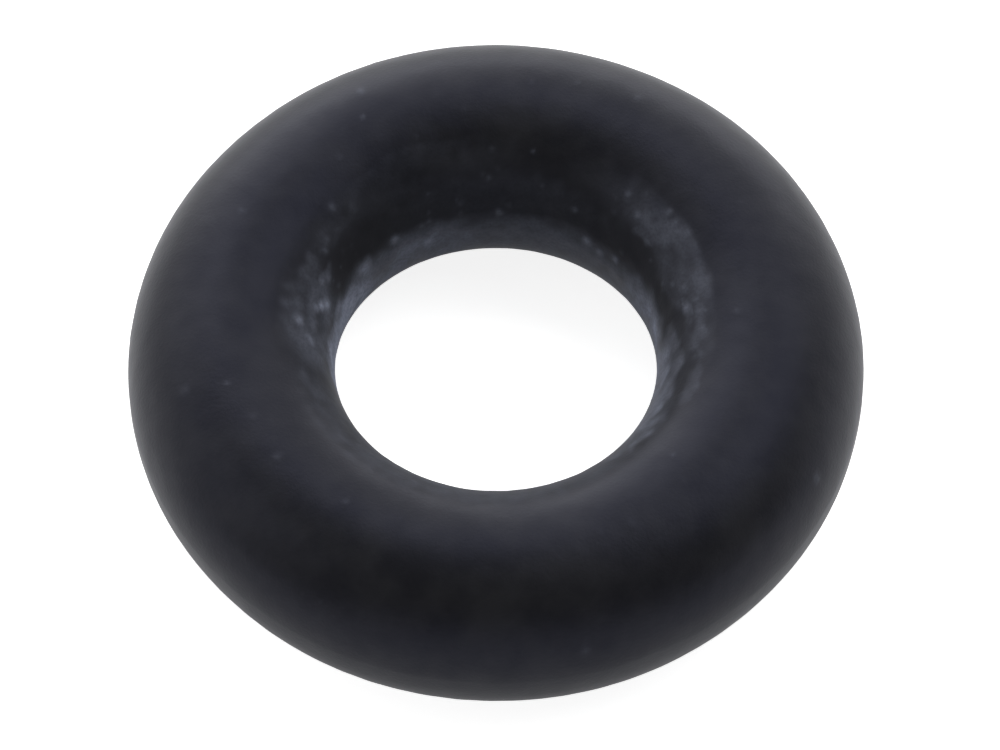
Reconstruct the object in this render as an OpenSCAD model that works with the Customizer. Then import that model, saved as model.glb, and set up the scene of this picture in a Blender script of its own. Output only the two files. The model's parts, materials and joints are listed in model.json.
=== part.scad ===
// Rubber o-ring: one moulded ring of round section, lying flat with its axis upright.
// All lengths are in millimetres. The origin is the centre of the ring, halfway up its section.

/* [Ring] */
// Inside diameter, measured across the inner parting land
inside_d = 2.8; // [1.8:0.1:40]
// Diameter of the round rubber section, which is also the height of the ring as it lies
section_d = 1.8; // [1:0.05:7]

/* [Parting land] */
// Height of the flush band where the mould flash was trimmed off, at the hole and at the rim
land_h = 0.1; // [0.04:0.01:0.3]

/* [Hidden] */
$fn = 128;

section_r = section_d / 2;
// From the middle of the section to either land: the chord of height land_h lies this far out
land_reach = sqrt(pow(section_r, 2) - pow(land_h / 2, 2));
// From the ring's axis to the middle of the section, so that the hole measures inside_d
section_centre_r = inside_d / 2 + land_reach;
rubber_black = [0.10, 0.10, 0.11];

// The rubber's cross-section: a full circle whose two sides are trimmed flush at the parting plane
module moulded_section() {
    intersection() {
        circle(r = section_r);
        square([2 * land_reach, section_d], center = true);
    }
}

// The whole ring, swept once round its axis, with a true bore and a true rim at the two lands
module o_ring() {
    color(rubber_black)
        rotate_extrude()
            translate([section_centre_r, 0])
                moulded_section();
}

o_ring();
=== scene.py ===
import json
import math

import bpy
import mathutils
import numpy as np
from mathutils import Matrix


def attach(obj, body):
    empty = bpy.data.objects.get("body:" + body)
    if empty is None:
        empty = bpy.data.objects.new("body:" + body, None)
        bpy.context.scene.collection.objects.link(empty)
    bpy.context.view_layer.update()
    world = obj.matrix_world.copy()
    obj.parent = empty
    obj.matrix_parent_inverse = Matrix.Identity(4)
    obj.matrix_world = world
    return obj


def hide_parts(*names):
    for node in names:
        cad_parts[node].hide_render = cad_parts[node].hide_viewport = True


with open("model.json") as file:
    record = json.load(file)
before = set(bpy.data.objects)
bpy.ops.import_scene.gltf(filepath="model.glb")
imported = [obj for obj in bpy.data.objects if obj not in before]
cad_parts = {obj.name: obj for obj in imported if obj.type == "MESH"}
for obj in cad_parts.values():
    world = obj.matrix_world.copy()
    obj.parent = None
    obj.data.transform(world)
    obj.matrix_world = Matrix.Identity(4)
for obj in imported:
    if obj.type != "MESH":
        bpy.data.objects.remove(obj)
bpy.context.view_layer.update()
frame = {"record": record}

mm = 0.001  # metres in a millimetre

# Sizes of the ring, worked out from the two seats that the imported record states
seats = {mount["name"]: mount["dims"] for mount in frame["record"]["mounts"]}
holeR = seats["inner_seat"]["r_mm"] * mm
rimR = seats["outer_seat"]["r_mm"] * mm
landH = seats["inner_seat"]["length_mm"] * mm
landReach = (rimR - holeR) / 2  # from the middle of the section to the flush land
sectionR = math.hypot(landReach, landH / 2)
centreR = holeR + landReach  # from the axis to the middle of the section
floorZ = -sectionR
print(f"frame loaded: hole {2 * holeR / mm:.2f} mm, section {2 * sectionR / mm:.2f} mm")


# sRGB hex to a linear colour with alpha
def linear(hexColour):
    srgb = [int(hexColour[i:i + 2], 16) / 255 for i in (1, 3, 5)]
    rgb = [c / 12.92 if c <= 0.04045 else ((c + 0.055) / 1.055) ** 2.4 for c in srgb]
    return (*rgb, 1.0)


# Adds one node: settings are the node's own, values go on its inputs, links come from other sockets
def addNode(tree, kind, settings=None, values=None, links=None):
    node = tree.nodes.new(kind)
    for name, value in (settings or {}).items():
        setattr(node, name, value)
    for socket, value in (values or {}).items():
        node.inputs[socket].default_value = value
    for socket, source in (links or {}).items():
        tree.links.new(source, node.inputs[socket])
    return node


def emptyMaterial(name):
    material = bpy.data.materials.new(name)
    material.use_nodes = True
    material.node_tree.nodes.clear()
    return material, material.node_tree


# The ring
# Places on it are a pair of angles in degrees: round the axis, where -90 faces the camera and 0 is on the
# right, and round the section, where 0 is the outer rim, 90 the top and 180 the wall of the hole

ring = {
    "columns": 640,  # round the axis
    "rows": 156,  # round the section
    "dustRows": 1.6,  # how much closer the rows lie over the dusty band
    "dustBand": (142, 32),  # degrees of tube angle, its middle and how far it spreads
    "waviness": 0.003,  # mm, slow swell of the moulded rubber
    "skin": 0.0005,  # mm, fine unevenness of the moulded skin
    "lumps": 0.0025,  # mm, rough lumps where the inner side has rubbed
    "rubDepth": 0.003,  # mm taken off there
    "rubEdge": (114.5, 118),  # degrees of tube angle over which the rubbed skin and the film begin
    "mouthEdge": (152, 168),  # the same for the pale coat on the wall, which is painted light
    "filmAndPaintedLight": 0.19,  # how far the film of dust, in places painted light, hides the rubber where its strength below is 1
    "wallPaintedLight": 0.5,  # the same for the pale coat on the wall: painted light for the table's bright bounce and glow there
    "dent": 0.005,  # mm, depth of the bare patches
    "speckHeight": 0.004,  # mm, how far a grain of dust stands out
    "speckSizes": (0.014, 0.030),  # mm, half widths of the scattered grains
    "seed": 7,
}

# Wavelength in mm and number of the waves that each unevenness of the skin is made of
unevenness = {
    "blotch": (0.36, 60),
    "fine": (0.15, 60),
    "edge": (0.5, 30),
    "swell": (2.2, 24),
    "skin": (0.2, 60),
}

# Rubbed places: ring angle, tube angle, half widths in degrees both ways, strength
rubbedPlaces = [
    (16, 139, 46, 24, 1.0),
    (160, 142, 34, 26, 0.9),
    (92, 146, 48, 22, 0.35),
    (-105, 144, 75, 24, 0.65),
]

# Where a pale film of dust clings, given in the same way. Some places are painted light, not dust: the
# strong ones at the hole's edge (ring angles -38 to -10, and 177) paint a glow seen at grazing view, and the
# broad faint ones at -110 and 90 paint lighter shading on the inner side
filmAndPaintedLightPlaces = [
    (20, 129, 42, 16, 0.36),
    (34, 128, 10, 11, 0.86),
    (26, 123, 9, 8, 0.70),
    (14, 123, 9, 8, 0.60),
    (20, 136, 14, 12, 0.55),
    (37, 139, 6, 5, 0.45),
    (6, 135, 5, 4, 0.85),
    (4, 127, 6, 6, 0.60),
    (-3, 128, 8, 7, 0.60),
    (-1, 150, 7, 9, 0.95),
    (-11, 143, 6, 7, 1.00),
    (-10, 160, 14, 13, 2.20),
    (-26, 150, 16, 14, 1.50),
    (-38, 142, 17, 13, 0.90),
    (-20, 125, 8, 6, 0.45),
    (177, 150, 20, 30, 1.10),
    (177, 133, 8, 7, 0.60),
    (166, 132, 13, 9, 0.50),
    (146, 130, 14, 8, 0.30),
    (90, 150, 50, 14, 0.20),
    (161, 142, 6, 6, 0.80),
    (-110, 138, 80, 20, 0.34),
    (-158, 142, 18, 18, 0.38),
    (120, 128, 36, 20, 0.15),
]

# A pale coat on the wall of the hole, thickest below its mouth: painted light, standing in for the bright
# bounce and glow off the table there
paintedWallLightPlaces = [
    (18, 185, 24, 30, 1.15),
    (-10, 184, 26, 28, 1.15),
    (70, 190, 50, 28, 0.50),
    (126, 190, 40, 28, 1.05),
    (158, 186, 22, 30, 2.10),
    (-178, 180, 20, 28, 2.20),
]

# Bare patches inside the film, where the rubber is dented and dark
barePlaces = [
    (37, 149, 9, 6, 0.9),
    (31, 147, 7, 6, 0.9),
    (17, 142, 5, 5, 0.5),
    (17, 153, 8, 6, 0.8),
    (3, 142, 6, 5, 0.9),
    (2, 134, 4, 4, 0.7),
    (-13, 131, 6, 6, 0.9),
    (-20, 133, 5, 5, 0.9),
    (155, 156, 6, 9, 0.7),
    (148, 147, 8, 9, 0.8),
    (174, 149, 4, 5, 0.4),
]

# Single grains of dust: ring angle, tube angle, half width in mm, brightness
grains = [
    (168, 147, 0.040, 0.60),
    (166, 151, 0.042, 0.50),
    (170, 144, 0.034, 0.30),
    (158, 145, 0.030, 0.15),
    (161, 141, 0.034, 0.15),
    (178, 132, 0.042, 0.20),
    (-177, 141, 0.042, 0.18),
    (128, 162, 0.042, 0.45),
    (115, 177, 0.044, 0.60),
    (141, 121, 0.034, 0.12),
    (152, 134, 0.030, 0.12),
    (117, 70, 0.032, 0.14),
    (89, 163, 0.034, 0.22),
    (63, 151, 0.028, 0.12),
    (56, 167, 0.042, 0.40),
    (50, 170, 0.036, 0.30),
    (43, 166, 0.036, 0.34),
    (61, 73, 0.034, 0.06),
    (36, 119, 0.030, 0.12),
    (43, 133, 0.030, 0.14),
    (49, 127, 0.034, 0.10),
    (4, 127, 0.038, 0.08),
    (7, 136, 0.036, 0.14),
    (-27, 30, 0.045, 0.10),
    (-142, 86, 0.034, 0.06),
    (-165, 59, 0.044, 0.05),
    (-76, 23, 0.040, 0.06),
]

# Fine grains scattered at random over a place: ring angle, tube angle, half widths, number
scatteredGrains = [
    (20, 132, 36, 16, 30),
    (162, 142, 22, 18, 30),
    (92, 150, 40, 18, 16),
    (0, 90, 180, 80, 40),
]


# 0 below the first edge, 1 above the second, 3t^2 - 2t^3 between them
def smoothStep(edge0, edge1, x):
    t = np.clip((x - edge0) / (edge1 - edge0), 0, 1)
    return t * t * (3 - 2 * t)


# Sum of plane waves cos(k.p + phase) in random directions, about -2 to 2, with k near 2 pi / wavelength
def waves(points, name, seedStep):
    wavelength, count = unevenness[name]
    rng = np.random.default_rng(ring["seed"] + seedStep)
    heading = rng.normal(size=(count, 3))
    heading /= np.linalg.norm(heading, axis=1, keepdims=True)
    k = heading * (2 * math.pi / (wavelength * rng.uniform(0.75, 1.33, (count, 1))))
    phase = rng.uniform(0, 2 * math.pi, count)
    total = np.zeros(points.shape[:-1])
    for one, shift in zip(k, phase):
        total += np.cos(points @ one + shift)
    return total * math.sqrt(2 / count)


# r(a) = min(section radius, land reach / |cos a|): a circle trimmed flush at its two sides
def sectionProfile(tubeAngle):
    return np.minimum(sectionR, landReach / np.maximum(np.abs(np.cos(tubeAngle)), 1e-6))


# x = (R + r cos a) cos b, y = (R + r cos a) sin b, z = r sin a
# a goes round the section and b round the axis
def ringPoints(tubeAngle, ringAngle, lift):
    r = sectionProfile(tubeAngle) + lift
    out = centreR + r * np.cos(tubeAngle)
    return np.stack([out * np.cos(ringAngle), out * np.sin(ringAngle), r * np.sin(tubeAngle)], axis=-1)


# Rows evenly spread in the running total of 1 + extra * bell(tube angle), with a row on each land's edges
def rowAngles():
    middle, spread = ring["dustBand"]
    steps = np.linspace(-90, 270, 3601)
    density = 1 + ring["dustRows"] * np.exp(-((steps - middle) / spread) ** 2)
    total = np.concatenate([[0], np.cumsum((density[1:] + density[:-1]) / 2)])
    rows = np.interp(np.arange(ring["rows"]) / ring["rows"] * total[-1], total, steps)
    landEdge = math.degrees(math.asin(landH / 2 / sectionR))
    for edge in (-landEdge, landEdge, 180 - landEdge, 180 + landEdge):
        rows[np.argmin(np.abs(rows - edge))] = edge
    return np.radians(rows)


# Difference of two angles in degrees, from -180 to 180
def turn(angle, start):
    return (angle - start + 180) % 360 - 180


# Greatest strength of the soft ellipses that cover a point
# Each is full inside 0.45 of its half widths and gone past 1.25 of them
def coverage(places, ringDegrees, tubeDegrees):
    total = np.zeros_like(ringDegrees)
    for ringAt, tubeAt, ringHalf, tubeHalf, strength in places:
        across = turn(ringDegrees, ringAt) / ringHalf
        along = turn(tubeDegrees, tubeAt) / tubeHalf
        total = np.maximum(total, strength * (1 - smoothStep(0.45, 1.25, np.hypot(across, along))))
    return total


# The single grains, and those that a seeded generator drops inside each scatter place
def allGrains():
    rng = np.random.default_rng(ring["seed"])
    rows = [np.array(grains, float)]
    for ringAt, tubeAt, ringHalf, tubeHalf, number in scatteredGrains:
        far = np.sqrt(rng.random(number))
        way = rng.random(number) * 2 * math.pi
        size = rng.uniform(*ring["speckSizes"], number)
        light = 0.015 + 0.10 * rng.random(number) ** 3  # most are faint
        rows.append(np.stack([ringAt + ringHalf * far * np.cos(way), tubeAt + tubeHalf * far * np.sin(way),
                              size, light], axis=-1))
    return np.concatenate(rows)


# Each grain is a bell exp(-(d / w)^2), with d the distance over the surface in mm
# Their heights add up, and the brightest one counts
def grainFields(ringDegrees, tubeDegrees):
    height = np.zeros_like(ringDegrees)
    light = np.zeros_like(ringDegrees)
    reach = (centreR + sectionR * np.cos(np.radians(tubeDegrees))) / mm
    for ringAt, tubeAt, size, bright in allGrains():
        across = reach * np.radians(turn(ringDegrees, ringAt))
        along = sectionR / mm * np.radians(turn(tubeDegrees, tubeAt))
        bell = np.exp(-(across ** 2 + along ** 2) / size ** 2)
        height += bell * min(1.0, size / ring["speckSizes"][1])
        light = np.maximum(light, bell * bright)
    return height, light


# What has happened to each point: how rubbed it is, how much dust or painted light lies on it, whether it is
# flush land, and its lift
def skinFields(tubeAngle, ringAngle):
    ringDegrees = np.degrees(ringAngle)
    tubeDegrees = np.degrees(tubeAngle)
    points = ringPoints(tubeAngle, ringAngle, 0.0) / mm
    blotch = waves(points, "blotch", 1)
    fine = waves(points, "fine", 2)
    edge = 1.2 * waves(points, "edge", 3)  # degrees that the rubbed line wanders by
    crisp = smoothStep(*ring["rubEdge"], tubeDegrees + edge)
    rubbed = coverage(rubbedPlaces, ringDegrees, tubeDegrees + 3 * blotch) * crisp
    bare = coverage(barePlaces, ringDegrees + blotch, tubeDegrees + blotch)
    # Film of dust; some of its places are painted light, a glow near the hole's edge and lighter shading on
    # the inner side
    filmAndPaintedLight = coverage(filmAndPaintedLightPlaces, ringDegrees + fine, tubeDegrees + fine) * crisp
    # Pale coat on the wall of the hole, below its mouth: painted light for the table's bright bounce and
    # glow there
    mouth = smoothStep(*ring["mouthEdge"], tubeDegrees + 0.8 * blotch + 0.8 * fine)
    paintedWallLight = coverage(paintedWallLightPlaces, ringDegrees + 2 * blotch, tubeDegrees) * mouth
    dustAndPaintedLightCover = np.maximum(ring["filmAndPaintedLight"] * filmAndPaintedLight, ring["wallPaintedLight"] * paintedWallLight)
    # Dust and the painted light lie unevenly, and hardly at all where the skin is bare
    dustAndPaintedLightCover *= np.clip(0.8 + 0.12 * blotch + 0.12 * fine, 0, 2) * (1 - 0.85 * bare)
    grainHeight, grainLight = grainFields(ringDegrees, tubeDegrees)
    # Dust, painted light and grains together, as one pale amount
    dustAndPaintedLight = np.clip(dustAndPaintedLightCover + grainLight, 0, 1)
    land = (np.abs(np.sin(tubeAngle)) * sectionR < landH / 2 * 1.001).astype(float)
    # 0 where it touches the table, so that it rests on its whole round
    seated = smoothStep(-90, -62, tubeDegrees) * smoothStep(-90, -62, 180 - tubeDegrees)
    lift = ring["waviness"] / 2 * waves(points, "swell", 4)
    lift += ring["skin"] * waves(points, "skin", 5)
    lift += rubbed * (ring["lumps"] * (0.5 * blotch + 0.35 * fine) - ring["rubDepth"])
    lift -= ring["dent"] * bare
    lift += ring["speckHeight"] * grainHeight
    return {"rubbed": rubbed, "dustAndPaintedLight": dustAndPaintedLight, "land": land}, lift * seated * mm


# A grid that closes on itself both ways, as quads that face outwards
def closedGridFaces(rows, columns):
    r, c = np.meshgrid(np.arange(rows), np.arange(columns), indexing="ij")
    r2, c2 = (r + 1) % rows, (c + 1) % columns
    corners = [r * columns + c, r * columns + c2, r2 * columns + c2, r2 * columns + c]
    return np.stack(corners, axis=-1).reshape(-1, 4)


def buildRing():
    around = -math.pi / 2 + np.arange(ring["columns"]) * 2 * math.pi / ring["columns"]
    tubeAngle, ringAngle = np.meshgrid(rowAngles(), around, indexing="ij")
    fields, lift = skinFields(tubeAngle, ringAngle)
    points = ringPoints(tubeAngle, ringAngle, lift).reshape(-1, 3)
    mesh = bpy.data.meshes.new("moulded_ring")
    mesh.from_pydata(points.tolist(), [], closedGridFaces(ring["rows"], ring["columns"]).tolist())
    mesh.shade_smooth()
    for name, values in fields.items():
        mesh.attributes.new(name, "FLOAT", "POINT").data.foreach_set("value", values.ravel())
    piece = bpy.data.objects.new("moulded_ring", mesh)
    bpy.context.scene.collection.objects.link(piece)
    return piece


# Nitrile rubber filled with carbon black, pressed in a fine-ground mould
# It looks nearly black, with a dull satin skin that mirrors only broad lights. It is greyer and duller where
# it has rubbed, smoother on the trimmed lands, and pale with dust in places. The same pale colour is painted
# light on the wall of the hole and near its edge, where it stands for a glow, and on the inner side, for
# lighter shading
rubber = {
    "deep": "#161616",
    "light": "#202020",
    "rubbedColour": "#242425",
    # the pale colour of the dust, also used for painted light on the hole's wall and near its edge
    "dustAndPaintedLightColour": "#9aa0b2",
    "roughness": 0.42,
    "rubbedRoughness": 0.62,
    "dustRoughness": 0.95,
    "landRoughness": 0.37,
    "mottle": 0.45,  # mm, size of the cloudy patches in the black
    "grain": 0.03,  # mm, grain of the ground mould; the real one is finer, and would not show
    "grainDepth": 0.0015,  # mm
    "specular": 0.19,
    "mirrorTint": (0.58, 0.62, 1.0, 1.0),  # the skin mirrors white light a little blue
    "sheen": 0.1,
}


def rubberMaterial():
    material, tree = emptyMaterial("nitrileRubber_moulded")
    place = addNode(tree, "ShaderNodeTexCoord").outputs["Object"]
    # Scales are per metre, because Object coordinates are in metres
    mottle = addNode(tree, "ShaderNodeTexNoise", values={
        "Scale": 1 / (rubber["mottle"] * mm), "Detail": 3, "Roughness": 0.55}, links={"Vector": place})
    grain = addNode(tree, "ShaderNodeTexNoise", values={
        "Scale": 1 / (rubber["grain"] * mm), "Detail": 2, "Roughness": 0.5}, links={"Vector": place})
    rubbed, dustAndPaintedLight, land = [
        addNode(tree, "ShaderNodeAttribute", {"attribute_name": name}).outputs["Fac"]
        for name in ("rubbed", "dustAndPaintedLight", "land")]

    cloudy = addNode(tree, "ShaderNodeMapRange", values={"From Min": 0.35, "From Max": 0.65},
                     links={"Value": mottle.outputs["Fac"]})
    black = addNode(tree, "ShaderNodeMix", {"data_type": "RGBA"},
                    {6: linear(rubber["deep"]), 7: linear(rubber["light"])}, {0: cloudy.outputs[0]})
    worn = addNode(tree, "ShaderNodeMix", {"data_type": "RGBA"}, {7: linear(rubber["rubbedColour"])},
                   {0: rubbed, 6: black.outputs[2]})
    # Dust and the painted light lie unevenly: the grain pattern thins them out by up to a quarter
    powder = addNode(tree, "ShaderNodeMapRange", values={"From Min": 0.35, "From Max": 0.6, "To Min": 0.75},
                     links={"Value": grain.outputs["Fac"]})
    dustAndPaintedLightAmount = addNode(tree, "ShaderNodeMath", {"operation": "MULTIPLY"},
                    links={0: dustAndPaintedLight, 1: powder.outputs[0]})
    # Pale dust colour over the rubber; in places it is painted light, not dust
    colour = addNode(tree, "ShaderNodeMix", {"data_type": "RGBA"}, {7: linear(rubber["dustAndPaintedLightColour"])},
                     {0: dustAndPaintedLightAmount.outputs[0], 6: worn.outputs[2]})

    skinRough = addNode(tree, "ShaderNodeMix", {"data_type": "FLOAT"},
                        {2: rubber["roughness"], 3: rubber["landRoughness"]}, {0: land})
    rubRough = addNode(tree, "ShaderNodeMix", {"data_type": "FLOAT"}, {3: rubber["rubbedRoughness"]},
                       {0: rubbed, 2: skinRough.outputs[0]})
    rough = addNode(tree, "ShaderNodeMix", {"data_type": "FLOAT"}, {3: rubber["dustRoughness"]},
                    {0: dustAndPaintedLight, 2: rubRough.outputs[0]})

    bump = addNode(tree, "ShaderNodeBump", values={"Strength": 1.0, "Distance": rubber["grainDepth"] * mm},
                   links={"Height": grain.outputs["Fac"]})
    shader = addNode(tree, "ShaderNodeBsdfPrincipled", values={
        "IOR": 1.5,
        "Specular IOR Level": rubber["specular"],
        "Specular Tint": rubber["mirrorTint"],
        "Sheen Weight": rubber["sheen"],
        "Sheen Roughness": 0.4,
        "Sheen Tint": (0.85, 0.87, 1.0, 1.0),
    }, links={
        "Base Color": colour.outputs[2],
        "Roughness": rough.outputs[0],
        "Normal": bump.outputs["Normal"],
    })
    addNode(tree, "ShaderNodeOutputMaterial", links={"Surface": shader.outputs[0]})
    return material


ringPiece = buildRing()
ringPiece.data.materials.append(rubberMaterial())
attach(ringPiece, "root")
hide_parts("o_ring")
print(f"ring: {len(ringPiece.data.polygons) * 2} triangles, {len(allGrains())} grains of dust")

# The table, white paper with no visible texture at this distance

table = {
    "halfWidth": 3.0,  # m, so that it reaches the horizon in low views
    "colour": "#e8e8e8",
    "glow": 0.85,  # brings the open paper up to white for the camera, and the shadow stays
    "mirroredGlow": 0.42,  # the same in the ring's reflections
}


def paperMaterial():
    material, tree = emptyMaterial("whitePaper_matte")
    rays = addNode(tree, "ShaderNodeLightPath").outputs
    direct = addNode(tree, "ShaderNodeMath", {"operation": "ADD"},
                     links={0: rays["Is Camera Ray"], 1: rays["Is Transmission Ray"]})
    mirrored = addNode(tree, "ShaderNodeMath", {"operation": "MULTIPLY"}, {1: table["mirroredGlow"]},
                       {0: rays["Is Glossy Ray"]})
    glow = addNode(tree, "ShaderNodeMath", {"operation": "MULTIPLY_ADD"}, {1: table["glow"]},
                   {0: direct.outputs[0], 2: mirrored.outputs[0]})
    light = addNode(tree, "ShaderNodeEmission", links={"Strength": glow.outputs[0]})
    paper = addNode(tree, "ShaderNodeBsdfDiffuse", values={"Color": linear(table["colour"])})
    both = addNode(tree, "ShaderNodeAddShader", links={0: paper.outputs[0], 1: light.outputs[0]})
    addNode(tree, "ShaderNodeOutputMaterial", links={"Surface": both.outputs[0]})
    return material


# A plain sheet at the height that the ring rests on
def buildTable():
    w = table["halfWidth"]
    mesh = bpy.data.meshes.new("table_top")
    corners = [(-w, -w, floorZ), (w, -w, floorZ), (w, w, floorZ), (-w, w, floorZ)]
    mesh.from_pydata(corners, [], [(0, 1, 2, 3)])
    mesh.materials.append(paperMaterial())
    piece = bpy.data.objects.new("table_top", mesh)
    bpy.context.scene.collection.objects.link(piece)


buildTable()
print("table laid")

# The studio: soft boxes round the table, strongest behind the ring, in a dim room with a pale horizon

studio = {
    "room": 0.16,  # radiance of the dim room, where 1 is white
    "horizon": 1.0,
    "horizonTop": 4,  # degrees above the table
    "distance": 5.0,  # m from the ring to each soft box
}

# Direction it stands in (0 is the camera's side, 90 the right), height, angular size and radiance
softBoxes = {
    "backStrip": {"azimuth": 180, "elevation": 8, "width": 80, "height": 13, "radiance": 4.0},
    "backWall": {"azimuth": 185, "elevation": 34, "width": 100, "height": 38, "radiance": 1.05},
    "backTop": {"azimuth": 165, "elevation": 66, "width": 76, "height": 24, "radiance": 1.5},
    "windowLeft": {"azimuth": 200, "elevation": 33, "width": 26, "height": 50, "radiance": 1.65},
    "rightLow": {"azimuth": 112, "elevation": 14, "width": 44, "height": 20, "radiance": 0.8},
    "rightTop": {"azimuth": 116, "elevation": 54, "width": 50, "height": 34, "radiance": 1.35},
    "leftSide": {"azimuth": 258, "elevation": 30, "width": 60, "height": 50, "radiance": 1.1},
    "frontFill": {"azimuth": 0, "elevation": 14, "width": 70, "height": 22, "radiance": 0.85},
}


# Its size is 2 d tan(angle / 2) each way, and its power is radiance * area * pi
def buildSoftBox(name, box):
    data = bpy.data.lights.new(name, "AREA")
    data.shape = "RECTANGLE"
    data.size = 2 * studio["distance"] * math.tan(math.radians(box["width"] / 2))
    data.size_y = 2 * studio["distance"] * math.tan(math.radians(box["height"] / 2))
    data.energy = box["radiance"] * data.size * data.size_y * math.pi
    piece = bpy.data.objects.new(name, data)
    bpy.context.scene.collection.objects.link(piece)
    azimuth, elevation = math.radians(box["azimuth"]), math.radians(box["elevation"])
    level = math.cos(elevation)
    way = mathutils.Vector((math.sin(azimuth) * level, -math.cos(azimuth) * level, math.sin(elevation)))
    piece.location = way * studio["distance"]
    piece.rotation_euler = way.to_track_quat("Z", "Y").to_euler()
    piece.visible_camera = False
    return piece


# Pale up to the horizon's top, dim above it, by the height of the direction looked in
def buildRoom():
    world = bpy.data.worlds.new("studio")
    world.use_nodes = True
    tree = world.node_tree
    tree.nodes.clear()
    way = addNode(tree, "ShaderNodeTexCoord").outputs["Generated"]
    height = addNode(tree, "ShaderNodeSeparateXYZ", links={0: way}).outputs["Z"]
    top = math.sin(math.radians(studio["horizonTop"]))
    strength = addNode(tree, "ShaderNodeMapRange", {"interpolation_type": "SMOOTHSTEP"}, {
        "From Min": top * 0.5, "From Max": top * 1.5, "To Min": studio["horizon"], "To Max": studio["room"],
    }, {"Value": height})
    sky = addNode(tree, "ShaderNodeBackground", values={"Color": (1, 1, 1, 1)},
                  links={"Strength": strength.outputs[0]})
    addNode(tree, "ShaderNodeOutputWorld", links={"Surface": sky.outputs[0]})
    bpy.context.scene.world = world


buildRoom()
softBoxLamps = [buildSoftBox(name, box) for name, box in softBoxes.items()]
print(f"studio: {len(softBoxLamps)} soft boxes")

# The camera looks down on the ring from the photograph's side

camera = {
    "elevation": 58.2,  # degrees above the table
    "distance": 30 * centreR,
    "lens": 285.4,  # mm
    "sensor": 36,  # mm
    "shiftX": 0.004,
    "shiftY": -0.0078,
}


def buildCamera():
    data = bpy.data.cameras.new("camera")
    data.lens = camera["lens"]
    data.sensor_width = camera["sensor"]
    data.shift_x = camera["shiftX"]
    data.shift_y = camera["shiftY"]
    data.clip_start = 1 * mm
    data.clip_end = 20
    piece = bpy.data.objects.new("camera", data)
    bpy.context.scene.collection.objects.link(piece)
    e = math.radians(camera["elevation"])
    piece.location = (0, -math.cos(e) * camera["distance"], math.sin(e) * camera["distance"])
    piece.rotation_euler = (math.pi / 2 - e, 0, 0)
    bpy.context.scene.camera = piece


buildCamera()
bpy.context.scene.view_settings.view_transform = "Standard"
